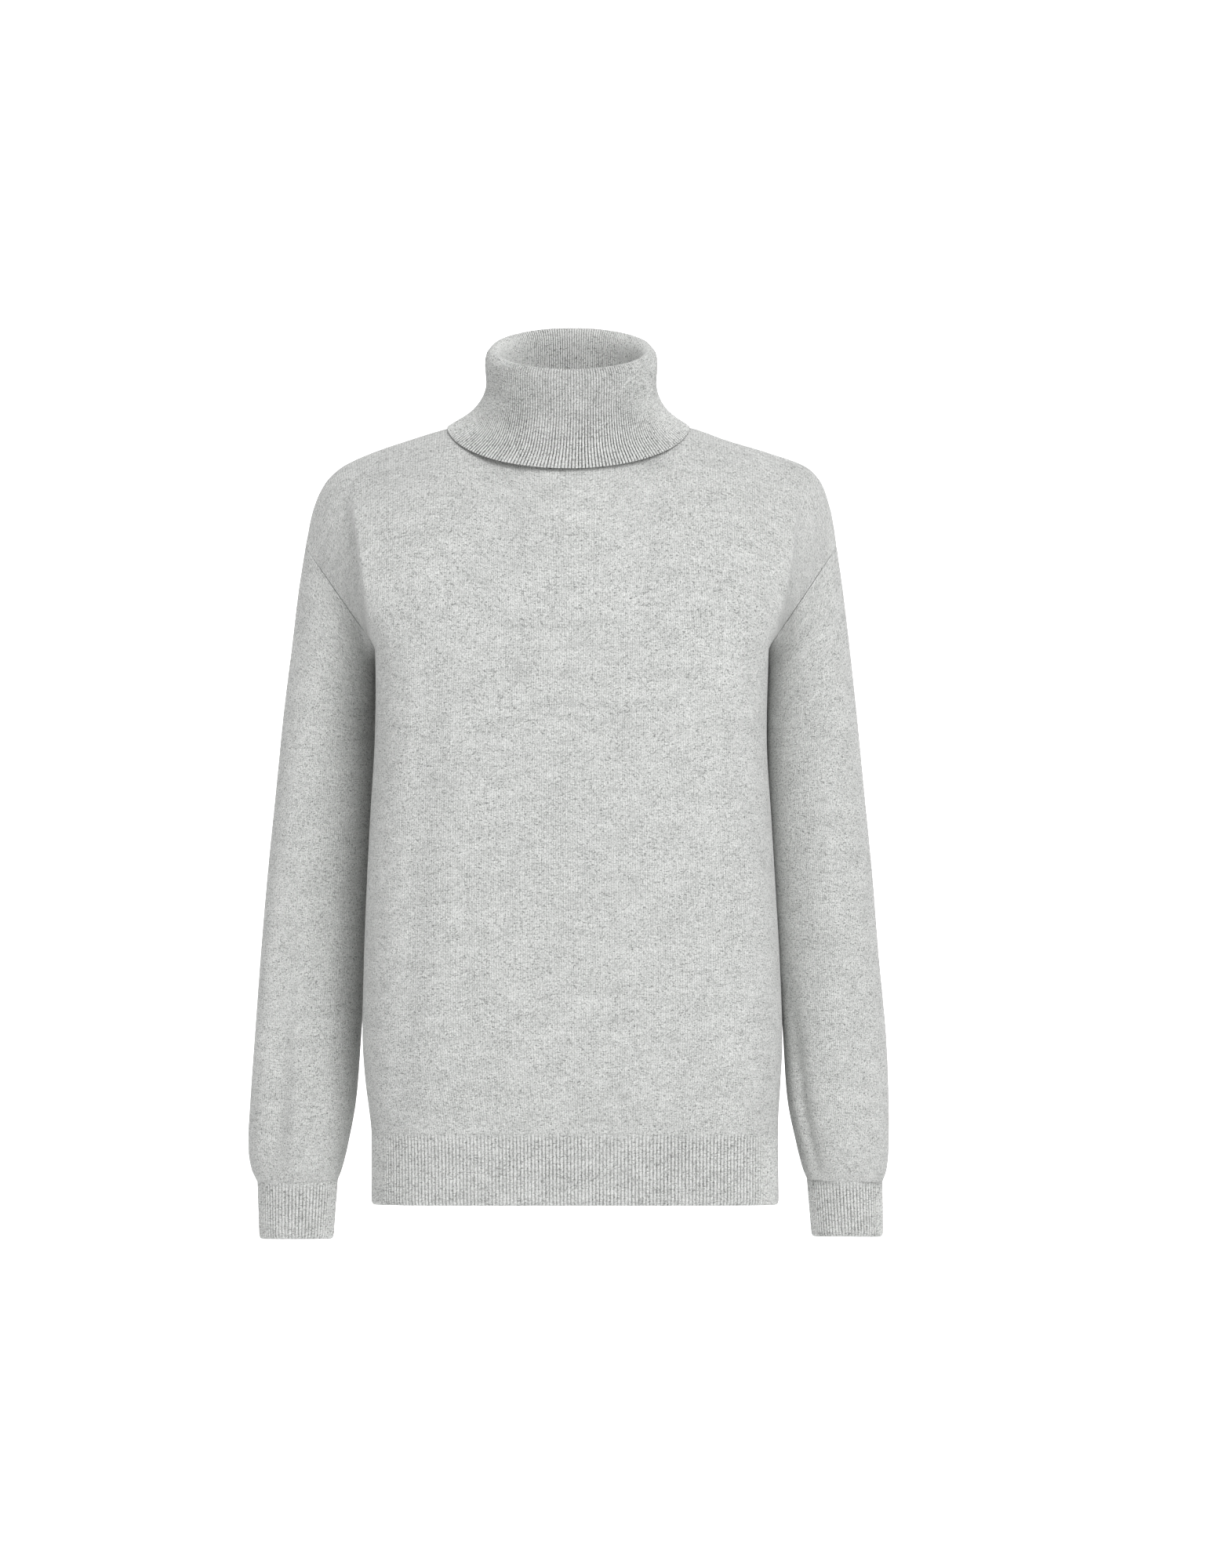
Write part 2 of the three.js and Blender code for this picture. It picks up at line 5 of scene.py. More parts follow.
import bpy
import numpy as np
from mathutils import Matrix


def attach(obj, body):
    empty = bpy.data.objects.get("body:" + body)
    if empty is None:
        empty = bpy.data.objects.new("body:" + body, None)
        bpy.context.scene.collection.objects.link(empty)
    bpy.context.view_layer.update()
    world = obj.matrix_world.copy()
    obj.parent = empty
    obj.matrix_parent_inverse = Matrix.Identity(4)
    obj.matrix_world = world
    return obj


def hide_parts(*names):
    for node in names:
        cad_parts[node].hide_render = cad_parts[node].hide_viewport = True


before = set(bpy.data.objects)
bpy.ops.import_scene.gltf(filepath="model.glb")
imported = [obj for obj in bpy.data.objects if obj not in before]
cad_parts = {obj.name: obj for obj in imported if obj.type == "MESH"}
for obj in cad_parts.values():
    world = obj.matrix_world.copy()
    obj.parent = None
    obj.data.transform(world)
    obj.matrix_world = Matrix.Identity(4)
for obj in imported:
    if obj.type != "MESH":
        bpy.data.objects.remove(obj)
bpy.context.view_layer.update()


# FRONT AND BACK PANELS
# Two pieces of plain jersey, knitted flat from the hem up and linked at the sides and shoulders.
# The front runs a little over the shoulder. Both drop past the shoulder to a slanted armhole.
def table(columns, rows):
    return {name: np.array([row[i] for row in rows], float) for i, name in enumerate(columns)}


# Sections of the body, from the underarm to the top of the hem rib. The lift raises its front edge.
BODY = table(
    ["z", "centre_x", "half_width", "front", "back", "lift"],
    [
        [-182, 1, 158.6, 122, 120, 0],
        [-200, 0.8, 158.9, 123, 120, 0.2],
        [-259, -0.2, 159.2, 124, 118, 0.8],
        [-317, -0.2, 162.7, 124, 117, 1.8],
        [-380, 0.1, 166.2, 123, 117, 3],
        [-438, 0.6, 169, 121, 118, 4.2],
        [-500, 1.1, 170.7, 118, 117, 5.2],
        [-534, 1.5, 168.9, 114, 113, 5.7],
        [-560, 2.3, 166.5, 109, 108, 6],
        [-577, 2.9, 165.5, 106, 104, 6],
        [-635, 3.2, 165.8, 104, 102, 6],
    ],
)
HEM_TOP_Z = -577
HEM_BOTTOM_Z = -635
UNDERARM_Z = -182
SIDE_SEAM_Y = 6
# The front stays flat to its corners, and the back is rounder.
SQUARENESS = {"front": 4.4, "back": 2.5}

# The shoulder line from the neck to the top of the sleeve, on each side.
SHOULDER = table(
    ["z", "right_x", "left_x"],
    [
        [7, -62, 62],
        [0, -100, 99],
        [-9.6, -132, 126],
        [-19.8, -162, 160],
        [-30, -184.6, 189],
        [-40.3, -197.4, 201.3],
        [-50.6, -204.5, 207],
        [-60.8, -209, 210.2],
        [-73.6, -212.8, 213.4],
        [-97, -217.4, 217],
    ],
)
SHOULDER_SEAM_Y = 10
NECK = {"centre_y": 8, "half_width": 62, "half_depth": 60, "side_z": 7, "front_z": -18, "back_z": 14}
NECK_SHARE = 0.3
CAP_REACH = {"front": 50, "back": 66}
CHEST_SLOPE = 1.3

# The tuck between chest and arm: where it runs on each side, how far the chest hangs forward and out
# in a fold along it, how far the cloth of the arm sets back past it, and its groove at the back.
ARM_TUCK = table(
    ["z", "right_x", "left_x", "right_fold", "left_fold", "overhang", "set_back", "groove"],
    [
        [-40, -180, 186, 0, 0, 0, 0, 0],
        [-66, -176, 182, 9, 3, 2, 4, 2],
        [-93, -169, 177, 17, 8, 5, 10, 4],
        [-130, -163, 171, 20, 12, 6, 14, 7],
        [-165, -160, 164, 17, 12, 4, 12, 8],
        [-182, -159, 160, 14, 12, 1.5, 6, 0],
        [-215, -158, 159, 10, 9, 0, 0, 0],
        [-260, -158, 159, 0, 0, 0, 0, 0],
    ],
)
GROOVE_WIDTH = 11
SET_BACK = {"from": -4, "to": 12, "ends_over": 45}
# The fold fades into the chest, drops sharply at its edge, and keeps clear of the side seam.
CHEST_FOLD = {"fades_over": 30, "edge_from": -3, "edge_to": 6, "starts": 20, "full": 60}

# Long soft troughs (and, where the depth is negative, swells) that hang in each panel and its hem.
FOLD_COLUMNS = ["top_x", "top_z", "bottom_x", "bottom_z", "half_width", "depth"]
FRONT_FOLDS = table(
    FOLD_COLUMNS,
    [
        [-108, -150, -149, -720, 13, 4.8],
        [-164, -360, -172, -760, 26, 9],
        [128, -330, 139, -700, 10, 2],
        [168, -420, 174, -760, 22, 5],
        [-60, -260, -84, -700, 26, 1.6],
        [66, -300, 84, -720, 30, 1.6],
    ],
)
BACK_FOLDS = table(
    FOLD_COLUMNS,
    [
        [-95, -150, -120, -560, 12, 3],
        [90, -190, 104, -590, 12, 2.6],
    ],
)

JERSEY_THICKNESS = 2
SEAM_GAP = 0.08
# Near a linked edge the cloth turns in round its own thickness: depth and reach of that turn.
SEAM_TURN = {"depth": 0.35, "reach": 1.2}


def mix(a, b, t):
    return a + (b - a) * t


def smoothstep(x, low, high):
    t = np.clip((x - low) / (high - low), 0, 1)
    return t * t * (3 - 2 * t)


def bell(distance, half_width):
    return np.exp(-((distance / half_width) ** 2))


def curve_through(keys, values, at):
    """Values at the given keys, on a smooth curve through a table's rows."""
    turned = -1 if keys[0] > keys[1] else 1
    last = len(keys) - 1
    i = np.clip(np.searchsorted(turned * keys, turned * at, side="right") - 1, 0, last - 1)
    before, after = np.maximum(np.arange(last + 1) - 1, 0), np.minimum(np.arange(last + 1) + 1, last)
    spread = (keys[after] - keys[before]).reshape((-1,) + (1,) * (values.ndim - 1))
    slope = (values[after] - values[before]) / spread
    span = keys[i + 1] - keys[i]
    t = np.clip((at - keys[i]) / span, 0, 1)
    t, span = (a.reshape((-1,) + (1,) * (values.ndim - 1)) for a in (t, span))
    return (
        values[i] * (1 + 2 * t) * (1 - t) ** 2
        + slope[i] * span * t * (1 - t) ** 2
        + values[i + 1] * t * t * (3 - 2 * t)
        + slope[i + 1] * span * t * t * (t - 1)
    )


def section(rows, key, at):
    at = np.atleast_1d(np.asarray(at, float))
    return {name: curve_through(rows[key], rows[name], at) for name in rows}


def spaced(line, shares):
    """Points at the given shares of a line's length."""
    lengths = np.concatenate([[0], np.cumsum(np.linalg.norm(np.diff(line, axis=0), axis=1))])
    return np.stack([np.interp(shares * lengths[-1], lengths, line[:, k]) for k in range(3)], 1)


def body_line(z, side, shares):
    """Half a section of the body between the side seams. Side is -1 for the front and 1 for the back."""
    s = {name: value[0] for name, value in section(BODY, "z", z).items()}
    turn = np.linspace(0, math.pi, 481)
    power = 2 / SQUARENESS["front" if side < 0 else "back"]
    out = np.abs(np.sin(turn)) ** power
    across = np.sign(np.cos(turn)) * np.abs(np.cos(turn)) ** power
    depth = s["front"] if side < 0 else s["back"]
    lift = s["lift"] * out if side < 0 else 0 * out
    line = np.stack([s["centre_x"] - s["half_width"] * across, SIDE_SEAM_Y + side * depth * out, z + lift], 1)
    return spaced(line, shares)


def shoulder_line(column):
    rows = np.stack([SHOULDER[column], 0 * SHOULDER["z"] + SHOULDER_SEAM_Y, SHOULDER["z"]], 1)
    steps = np.linspace(0, len(rows) - 1, 241)
    return curve_through(np.arange(len(rows), dtype=float), rows, steps)


def top_line(side, across):
    """The top edge of a panel: half the neckline, then the shoulder seam. Across runs from -1 to 1."""
    share = np.abs(across)
    angle = np.minimum(share / NECK_SHARE, 1) * math.pi / 2
    middle_z = NECK["front_z"] if side < 0 else NECK["back_z"]
    neck = np.stack(
        [
            np.sign(across) * NECK["half_width"] * np.sin(angle),
            NECK["centre_y"] + side * NECK["half_depth"] * np.cos(angle),
            mix(NECK["side_z"], middle_z, np.cos(angle)),
        ],
        1,
    )
    out = np.clip((share - NECK_SHARE) / (1 - NECK_SHARE), 0, 1)
    right, left = spaced(shoulder_line("right_x"), out), spaced(shoulder_line("left_x"), out)
    shoulder = np.where((across < 0)[:, None], right, left)
    return np.where((share < NECK_SHARE)[:, None], neck, shoulder)


def eased_top_line(side, across):
    spread = 0.06 * (1 - smoothstep(np.abs(across), 0.6, 0.9))
    return sum(top_line(side, across + k * spread) for k in np.linspace(-2, 2, 9)) / 9


def in_folds(x, z, folds):
    """How far each fold of a table presses in at a place, summed."""
    total = np.zeros_like(x)
    for top_x, top_z, bottom_x, bottom_z, half_width, depth in zip(*(folds[c] for c in FOLD_COLUMNS)):
        run = np.array([bottom_x - top_x, bottom_z - top_z])
        length = np.linalg.norm(run)
        along = ((x - top_x) * run[0] + (z - top_z) * run[1]) / length**2
        off = ((x - top_x) * run[1] - (z - top_z) * run[0]) / length
        ends = np.where((along > 0) & (along < 1), np.sin(np.clip(along, 0, 1) * math.pi), 0)
        total += depth * ends * bell(off, half_width)
    return total


def outward(points, closed):
    """Outward directions of a grid of points, from its neighbours along rows and columns."""
    if closed:
        along = np.roll(points, -1, 1) - np.roll(points, 1, 1)
    else:
        along = np.gradient(points, axis=1)
    n = np.cross(along, np.gradient(points, axis=0))
    return n / np.maximum(np.linalg.norm(n, axis=2, keepdims=True), 1e-9)


def with_edges(values, width, low=True, high=True):
    """Extra steps close to an edge, where the cloth turns in."""
    near = np.array([0.3, 0.7, 1.2, 1.8]) / width * (values[-1] - values[0])
    extra = ([values[0] + near] if low else []) + ([values[-1] - near] if high else [])
    return np.sort(np.concatenate([values, *extra]))


def turn_of_edge(distance):
    """How deep the cloth lies under its plain surface at a distance from a linked edge."""
    t = np.clip(1 - distance / SEAM_TURN["reach"], 0, 1)
    return SEAM_TURN["depth"] * (1 - np.sqrt(1 - t * t * 0.999))


def panel(side, folds):
    """Outer points of a panel, its wales and courses in millimetres, and its armhole edges."""
    # At the front, columns stand closer together where the chest folds over the arm.
    half = np.linspace(0, 1, 81)
    if side < 0:
        half = np.interp(np.linspace(0, 1, 101), [0, 0.45, 0.85, 1], [0, 0.62, 0.86, 1])
    half = np.sort(np.concatenate([half, 1 - np.array([0.3, 0.7, 1.2, 1.8]) / 250]))
    across = np.concatenate([-half[:0:-1], half])
    shares = (across + 1) / 2
    heights = with_edges(np.linspace(HEM_TOP_Z, UNDERARM_Z, 125), 395, high=False)
    rows = [body_line(z, side, shares) for z in heights]
    bottom, top = rows[-1], top_line(side, across)
    eased = eased_top_line(side, across)
    ups = with_edges(np.linspace(0, 1, 71)[1:], 190, low=False)
    share = np.abs(across)[:, None]
    roundness = mix(CHEST_SLOPE, 1, smoothstep(share[:, 0], 0.1, 0.9))
    for up in ups:
        goal = mix(eased, top, up**4)
        climb = np.sin(up * math.pi / 2) ** roundness
        fall = np.abs(np.cos(up * math.pi / 2)) ** roundness
        chest = mix(bottom, goal, climb[:, None])
        chest[:, 1] = mix(goal[:, 1], bottom[:, 1], fall)
        cap = mix(bottom, goal, (1 - math.cos(up * math.pi)) / 2)
        cap[:, 1] += side * CAP_REACH["front" if side < 0 else "back"] * math.sin(up * math.pi)
        rows.append(mix(chest, cap, smoothstep(share, 0.5, 1)))
    points = np.stack(rows)
    x, z = points[..., 0].copy(), points[..., 2].copy()
    tuck = {name: value.reshape(x.shape) for name, value in section(ARM_TUCK, "z", z.ravel()).items()}
    inside = (z < ARM_TUCK["z"][0]) & (z > ARM_TUCK["z"][-1])
    inside[-1] = False
    past = np.abs(x) - np.abs(np.where(x < 0, tuck["right_x"], tuck["left_x"]))
    points[..., 1] -= side * in_folds(x, z, folds)
    if side < 0:
        near = np.exp(np.minimum(past, 0) / CHEST_FOLD["fades_over"])
        near *= 1 - smoothstep(past, CHEST_FOLD["edge_from"], CHEST_FOLD["edge_to"])
        near *= smoothstep(SIDE_SEAM_Y - points[..., 1], CHEST_FOLD["starts"], CHEST_FOLD["full"]) * inside
        points[..., 1] -= near * np.where(x < 0, tuck["right_fold"], tuck["left_fold"])
        points[..., 0] += np.sign(x) * near * tuck["overhang"] * smoothstep(past, -25, -2)
        back = tuck["set_back"] * smoothstep(past, SET_BACK["from"], SET_BACK["to"]) * inside
        points[..., 1] += back * smoothstep(SHOULDER_SEAM_Y - points[..., 1], 0, SET_BACK["ends_over"])
    else:
        points[..., 1] -= tuck["groove"] * bell(past, GROOVE_WIDTH) * inside
    wales = np.broadcast_to(across * 250, x.shape)
    steps = np.linalg.norm(np.diff(points, axis=0), axis=2).mean(1)
    courses = np.broadcast_to(np.concatenate([[0], np.cumsum(steps)])[:, None], x.shape)
    edges = {"right": points[len(heights) - 1 :, 0], "left": points[len(heights) - 1 :, -1]}
    return points, wales, courses, edges


def wall_mesh(name, outer, inner, wales, courses, closed):
    """A closed cloth wall between two grids of outer and inner points, with its wales and courses as UVs."""
    rows, columns = outer.shape[:2]
    count = columns if closed else columns - 1
    j, i = np.meshgrid(np.arange(rows - 1), np.arange(count), indexing="ij")
    k = (i + 1) % columns
    skin = np.stack([j * columns + i, j * columns + k, (j + 1) * columns + k, (j + 1) * columns + i], -1)
    behind = rows * columns
    faces = [skin.reshape(-1, 4), behind + skin[..., ::-1].reshape(-1, 4)]
    i = np.arange(count)
    k = (i + 1) % columns
    for row, turned in ((0, True), (rows - 1, False)):
        a, b = row * columns + i, row * columns + k
        rim = np.stack([a, b, behind + b, behind + a], -1)
        faces.append(rim[:, ::-1] if turned else rim)
    if not closed:
        j = np.arange(rows - 1)
        for column, turned in ((0, False), (columns - 1, True)):
            a, b = j * columns + column, (j + 1) * columns + column
            rim = np.stack([a, b, behind + b, behind + a], -1)
            faces.append(rim[:, ::-1] if turned else rim)
    faces = np.concatenate(faces)
    points = np.concatenate([outer.reshape(-1, 3), inner.reshape(-1, 3)]) / 1000
    mesh = bpy.data.meshes.new(name)
    mesh.from_pydata(points.tolist(), [], faces.tolist())
    u, v = (np.concatenate([a.ravel(), a.ravel()]) for a in (wales, courses))
    step = abs(wales[0, 1] - wales[0, 0])
    total = abs(wales[0, -1] - wales[0, 0]) + step
    corner_u, corner_v = u[faces], v[faces]
    if closed:
        wrapped = corner_u.max(1, keepdims=True) - corner_u > total / 2
        corner_u = np.where(wrapped, corner_u + total, corner_u)
    layer = mesh.uv_layers.new(name="Knit")
    layer.data.foreach_set("uv", np.stack([corner_u, corner_v], -1).astype(np.float32).ravel())
    mesh.validate()
    mesh.shade_smooth()
    mesh.set_sharp_from_angle(angle=math.radians(75))
    piece = bpy.data.objects.new(name, mesh)
    bpy.context.scene.collection.objects.link(piece)
    return piece


def edge_distance(rows, columns, wales, courses, sides, ends):
    """Distance in millimetres from the linked edges of a grid."""
    away = np.full((rows, columns), 1e3)
    if sides:
        away = np.minimum(away, np.minimum(wales - wales[:, :1], wales[:, -1:] - wales))
    if ends[0]:
        away = np.minimum(away, courses - courses[:1])
    if ends[1]:
        away = np.minimum(away, courses[-1:] - courses)
    return away


def jersey(name, points, wales, courses, closed, ends=(True, True)):
    """A jersey wall from its outer points, drawn back from its linked edges by half the gap."""
    normals = outward(points, closed)
    away = edge_distance(*points.shape[:2], wales, courses, not closed, ends)
    depth = turn_of_edge(away)[..., None]
    outer = points - normals * depth
    inner = points - normals * JERSEY_THICKNESS
    if not closed:
        for grid in (outer, inner):
            for edge, next_to in ((0, 3), (-1, -4)):
                back = grid[:, next_to] - grid[:, edge]
                grid[:, edge] += back / np.linalg.norm(back, axis=1, keepdims=True) * SEAM_GAP / 2
    for grid in (outer, inner):
        for edge, next_to in ((0, 3), (-1, -4)):
            back = grid[next_to] - grid[edge]
            grid[edge] += back / np.linalg.norm(back, axis=1, keepdims=True) * SEAM_GAP / 2
    return wall_mesh(name, outer, inner, wales, courses, closed)


def linear(hex_colour):
    """An sRGB hex colour as the linear values that Blender works in."""
    parts = [int(hex_colour[k : k + 2], 16) / 255 for k in (1, 3, 5)]
    return [p / 12.92 if p <= 0.04045 else ((p + 0.055) / 1.055) ** 2.4 for p in parts] + [1.0]


def add(tree, kind, inputs=None, out=0, **settings):
    """Adds a node with its settings and inputs by name or number, and gives one of its outputs."""
    node = tree.nodes.new("ShaderNode" + kind)
    for key, value in settings.items():
        setattr(node, key, value)
    for key, value in (inputs or {}).items():
        if isinstance(value, bpy.types.NodeSocket):
            tree.links.new(value, node.inputs[key])
        else:
            node.inputs[key].default_value = value
    return node.outputs[out] if node.outputs else node


# Melange wool, carded from white, pale and charcoal fibre and spun soft, then knitted and milled.
# To the eye it is a matt pale grey, clouded along the courses, with fine dark flecks and a light nap.
# Each fibre pattern has its size across and along the wales in millimetres, and its share of contrast.
FIBRE = {
    "stitch": (0.85, 1.3, 1, 1.15),
    "grain": (0.6, 0.6, 0, 0.8),
    "streak": (6, 1.1, 2, 0.6),
    "cloud": (28, 14, 1, 0.3),
}
FLECKS = {"across": 1.5, "along": 0.9, "from": 0.57, "to": 0.7, "share": 0.66}
YARN = {"roughness": 0.92, "ior": 1.5, "nap": 0.2, "nap_roughness": 0.6}
# The tone and the painted shade in the grooves can change along the wales, and follow stops of place and value.
JERSEY = {"light": "#f8f9f7", "dark": "#8d8f8d", "charcoal": "#4c4e4c", "wale": 1.87, "course": 1.5, "bump": 0.35}
JERSEY |= {"shade": [(0, 0.65)], "groove": [(0, 0.3)], "rib": 0}


def pattern(tree, uv, across, along, detail, seed, low, high, floor, top):
    """Noise of a size in millimetres, as a share from floor to top where it rises from low to high."""
    scale = (1 / across, 1 / along, 1)
    at = add(tree, "VectorMath", {0: uv, 1: scale, 2: (0, 0, seed)}, operation="MULTIPLY_ADD")
    found = add(tree, "TexNoise", {"Vector": at, "Scale": 1.0, "Detail": detail, "Roughness": 0.6})
    return add(tree, "MapRange", {0: found, 1: low, 2: high, 3: floor, 4: top})


def melange(tree, uv, fabric, share, groove):
    """The melange colour at a place on the knit, with painted shade darkening it in the grooves between wales or
    ribs.
    """
    for seed, (across, along, detail, contrast) in enumerate(FIBRE.values()):
        fibre = pattern(tree, uv, across, along, detail, 7.5 * seed + 0.5, 0, 1, -contrast / 2, contrast / 2)
        share = add(tree, "Math", {0: share, 1: fibre}, operation="ADD")
    pale, dark, charcoal = (linear(fabric[name]) for name in ("light", "dark", "charcoal"))
    colour = add(tree, "Mix", {0: share, 6: dark, 7: pale}, out=2, data_type="RGBA")
    size = (FLECKS["across"], FLECKS["along"], 1, 47.5)
    flecks = pattern(tree, uv, *size, FLECKS["from"], FLECKS["to"], 0, FLECKS["share"])
    colour = add(tree, "Mix", {0: flecks, 6: colour, 7: charcoal}, out=2, data_type="RGBA")
    # Painted shade: the colour is mixed towards charcoal in the grooves.
    return add(tree, "Mix", {0: groove, 6: colour, 7: charcoal}, out=2, data_type="RGBA")


def follow(tree, place, stops):
    """A value that runs through stops of place and value."""
    total = stops[0][1]
    for (start, first), (stop, last) in zip(stops, stops[1:]):
        change = add(tree, "MapRange", {0: place, 1: start, 2: stop, 3: 0.0, 4: last - first})
        total = add(tree, "Math", {0: total, 1: change}, operation="ADD")
    return total


def knit_material(name, fabric):
    material = bpy.data.materials.new(name)
    material.use_nodes = True
    tree = material.node_tree
    tree.nodes.clear()
    uv = add(tree, "UVMap", uv_map="Knit")
    u, v = (add(tree, "SeparateXYZ", {0: uv}, out=k) for k in (0, 1))
    # The groove stops set how strong the painted shade in the grooves is.
    share, depth = follow(tree, v, fabric["shade"]), follow(tree, v, fabric["groove"])

    # Each wale is a column of Vs: its two legs lean towards the middle, and the yarn dips between wales.
    wale = add(tree, "Math", {0: u, 1: fabric["wale"]}, operation="DIVIDE")
    place = add(tree, "Math", {0: wale}, operation="FRACT")
    place = add(tree, "Math", {0: place, 1: 0.5}, operation="SUBTRACT")
    lean = add(tree, "Math", {0: place}, operation="ABSOLUTE")
    course = add(tree, "Math", {0: v, 1: fabric["course"]}, operation="DIVIDE")
    course = add(tree, "Math", {0: lean, 1: 1.1, 2: course}, operation="MULTIPLY_ADD")
    turn = add(tree, "Math", {0: course, 1: 2 * math.pi}, operation="MULTIPLY")
    legs = add(tree, "Math", {0: turn}, operation="SINE")
    turn = add(tree, "Math", {0: wale, 1: 2 * math.pi}, operation="MULTIPLY")
    wales = add(tree, "Math", {0: turn}, operation="COSINE")
    # The groove mask marks where painted shade darkens the colour: in the dips between wales, or between ribs where
    # the knit is ribbed.
    groove = add(tree, "MapRange", {0: wales, 1: 0.1, 2: 1.0})
    if fabric["rib"]:
        turn = add(tree, "Math", {0: u, 1: 2 * math.pi / fabric["rib"]}, operation="MULTIPLY")
        ribs = add(tree, "Math", {0: turn}, operation="COSINE")
        groove = add(tree, "MapRange", {0: ribs, 1: 0.35, 2: 1.0})
    # Fibre ends stand across the grooves and close them here and there, which breaks up the painted shade in them.
    for across, along, seed, floor in ((1.2, 2.2, 61.5, 0.3), (45, 90, 68.5, 0.6)):
        closed = pattern(tree, uv, across, along, 1, seed, 0.33, 0.66, floor, 1)
        groove = add(tree, "Math", {0: groove, 1: closed}, operation="MULTIPLY")
    groove = add(tree, "Math", {0: groove, 1: depth}, operation="MULTIPLY")

    height = add(tree, "Math", {0: legs, 1: 0.3, 2: 0.0}, operation="MULTIPLY_ADD")
    height = add(tree, "Math", {0: wales, 1: -0.5, 2: height}, operation="MULTIPLY_ADD")
    fuzz = add(tree, "TexNoise", {"Vector": uv, "Scale": 1.6, "Detail": 3.0})
    height = add(tree, "Math", {0: fuzz, 1: 1.4, 2: height}, operation="MULTIPLY_ADD")
    bump = add(tree, "Bump", {"Height": height, "Strength": 0.6, "Distance": fabric["bump"] / 1000})
    look = {"Base Color": melange(tree, uv, fabric, share, groove), "Normal": bump}
    look |= {"Roughness": YARN["roughness"], "IOR": YARN["ior"]}
    look |= {"Sheen Weight": YARN["nap"], "Sheen Roughness": YARN["nap_roughness"]}
    add(tree, "OutputMaterial", {0: add(tree, "BsdfPrincipled", look)})
    return material


jersey_wool = knit_material("milled_melange_wool_jersey", JERSEY)


def dress(piece, material, node):
    """Puts the wool on a piece and sets it in the place of its solid."""
    piece.data.materials.append(material)
    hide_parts(node)
    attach(piece, "root")


front_points, front_wales, front_courses, front_edges = panel(-1, FRONT_FOLDS)
back_points, back_wales, back_courses, back_edges = panel(1, BACK_FOLDS)
front = jersey("front_panel", front_points, front_wales, front_courses, False, ends=(False, True))
dress(front, jersey_wool, "front")
back = jersey("back_panel", back_points[:, ::-1], back_wales, back_courses, False, ends=(False, True))
dress(back, jersey_wool, "back")


# SLEEVES
# Two plain jersey tubes, linked into the dropped armholes and narrowed to the cuff, over which they
# blouse. The arms hang a little forward and clear of the body.
SLEEVE_COLUMNS = ["outer_x", "outer_z", "inner_x", "inner_z", "centre_y", "half_depth", "lean"]
RIGHT_SLEEVE = table(
    SLEEVE_COLUMNS,
    [
        [-223, -134, -158.8, -196, 21, 54, 12],
        [-228, -178, -158.6, -216, 24, 52.5, 20],
        [-234.4, -232, -159.4, -246, 26, 50, 28],
        [-241, -298, -161, -300, 26, 47.5, 28],
        [-247.6, -364, -164.6, -364, 25, 45, 28],
        [-253.2, -430, -168.4, -430, 23, 44, 26],
        [-258.2, -496, -172.8, -496, 19, 44.5, 19],
        [-262.2, -550, -176.5, -550, 14, 45, 10],
        [-264, -586, -182.7, -586, 10, 42, 4],
        [-261.6, -605, -187.2, -605, 7, 35.5, 0],
        [-256.6, -616, -190.6, -614, 6, 29.5, 0],
    ],
)
LEFT_SLEEVE = table(
    SLEEVE_COLUMNS,
    [
        [222, -134, 159.8, -196, 20, 54, 8],
        [227.2, -178, 159.4, -216, 20, 52.5, 9],
        [233, -232, 159.4, -246, 20, 50, 9],
        [239.4, -298, 161.3, -300, 20, 47.5, 9],
        [245.8, -364, 165.2, -364, 19, 45, 9],
        [251, -430, 169, -430, 18, 44, 9],
        [257, -496, 173.4, -496, 15, 44.5, 7],
        [259.2, -550, 177, -550, 12, 45, 4],
        [259.2, -586, 184.2, -586, 10, 42, 2],
        [257.6, -605, 189, -605, 7, 35.5, 0],
        [254.4, -615, 192.2, -613, 6, 29.5, 0],
    ],
)

# Troughs that run down a sleeve: both ends as a turn round it, from the inner side over the front.
TROUGH_COLUMNS = ["top_turn", "top_row", "bottom_turn", "bottom_row", "half_width", "depth"]
RIGHT_TROUGHS = table(
    TROUGH_COLUMNS,
    [
        [0.345, 3.8, 0.325, 9.8, 0.06, 11],
        [0.24, 3, 0.22, 9, 0.04, 3],
        [0.8, 1.5, 0.74, 8, 0.045, 3.5],
    ],
)
LEFT_TROUGHS = table(
    TROUGH_COLUMNS,
    [
        [0.1, 5.2, 0.14, 9.8, 0.03, 4.5],
        [0.33, 1.5, 0.3, 8, 0.04, 2],
        [0.8, 2, 0.72, 9, 0.045, 3.5],
    ],
)


def arm_rings(s, turns, roundness=1):
    """Rings of a sleeve or cuff. Turn 0 is the inner side, 0.25 the front, 0.5 the outer side."""
    angle = turns[None] * 2 * math.pi
    s = {name: value[:, None] for name, value in s.items()}
    out, ahead = (1 - np.cos(angle)) / 2, np.sign(np.sin(angle)) * np.abs(np.sin(angle)) ** roundness
    x = mix(s["inner_x"], s["outer_x"], out)
    y = s["centre_y"] - s["half_depth"] * ahead + s.get("lean", 0) * np.cos(angle)
    z = mix(s["inner_z"], s["outer_z"], out) + s.get("lift", 0) * ahead
    return np.stack([x, y, z], -1)


# The wearer's right arm hangs round. The left one lies flatter beside the chest.
ARM_ROUNDNESS = {"right": 1, "left": 0.6}


